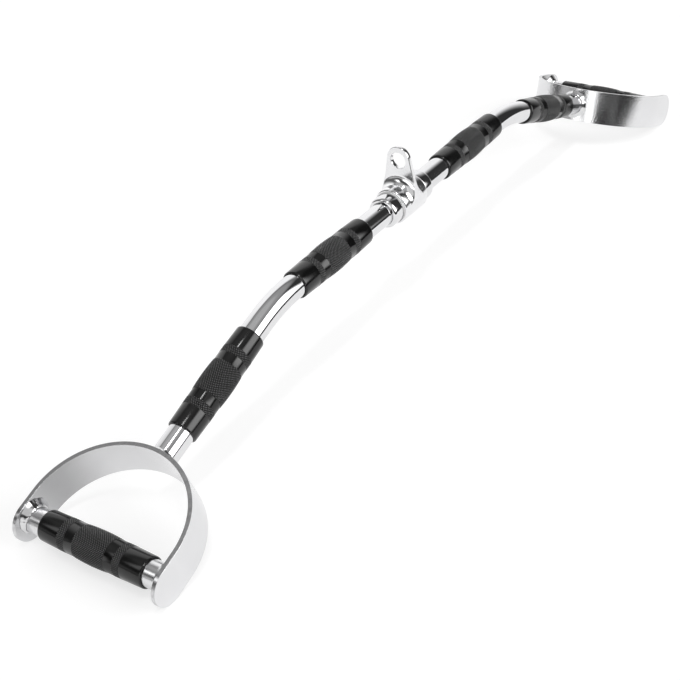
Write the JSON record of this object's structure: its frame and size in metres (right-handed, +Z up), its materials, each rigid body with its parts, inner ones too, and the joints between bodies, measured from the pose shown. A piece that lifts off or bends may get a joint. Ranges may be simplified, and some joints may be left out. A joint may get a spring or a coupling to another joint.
{
  "type": "lat pulldown bar",
  "caption": "Lat pulldown bar: a bent chrome bar with a swivelling hanger eye, swelled rubber grips and D-shaped end handles.",
  "frame": {"origin": "on the floor under the middle of the bar, level with the lowest points of the handles", "axes": "+X along the bar towards the right handle, +Z up with the bar arched upwards and the hanger's eye at the top, +Y across the handles"},
  "size_m": [1.0334, 0.1644, 0.1766],
  "materials": {
    "chrome": "polished chrome plate on steel",
    "weld_chrome": "chrome plate over a dressed weld bead",
    "grip_rubber": "black rubber, glossy ends and a fine knurled belly",
    "bronze": "plain oiled bearing bronze",
    "nylon": "natural nylon"
  },
  "bodies": {
    "bar": {"main_bar": "chrome", "washer_left": "nylon", "washer_right": "nylon", "collar_left": "chrome", "collar_right": "chrome", "inner_grip_left": "grip_rubber", "inner_grip_right": "grip_rubber", "outer_grip_left": "grip_rubber", "outer_grip_right": "grip_rubber", "handle_strap_left": "chrome", "handle_strap_right": "chrome", "handle_rod_left": "chrome", "handle_rod_right": "chrome", "handle_grip_left": "grip_rubber", "handle_grip_right": "grip_rubber", "strap_weld_left": "weld_chrome", "strap_weld_right": "weld_chrome", "handle_weld_left_front": "weld_chrome", "handle_weld_left_back": "weld_chrome", "handle_weld_right_front": "weld_chrome", "handle_weld_right_back": "weld_chrome"},
    "hanger": {"swivel_hanger": "chrome", "bushing_left": "bronze", "bushing_right": "bronze"}
  },
  "joints": [
    {"name": "hanger_spin", "type": "hinge", "parent": "bar", "child": "hanger", "pos_m": [0, 0, 0.11604], "axis": [1, 0, 0], "continuous": true}
  ]
}
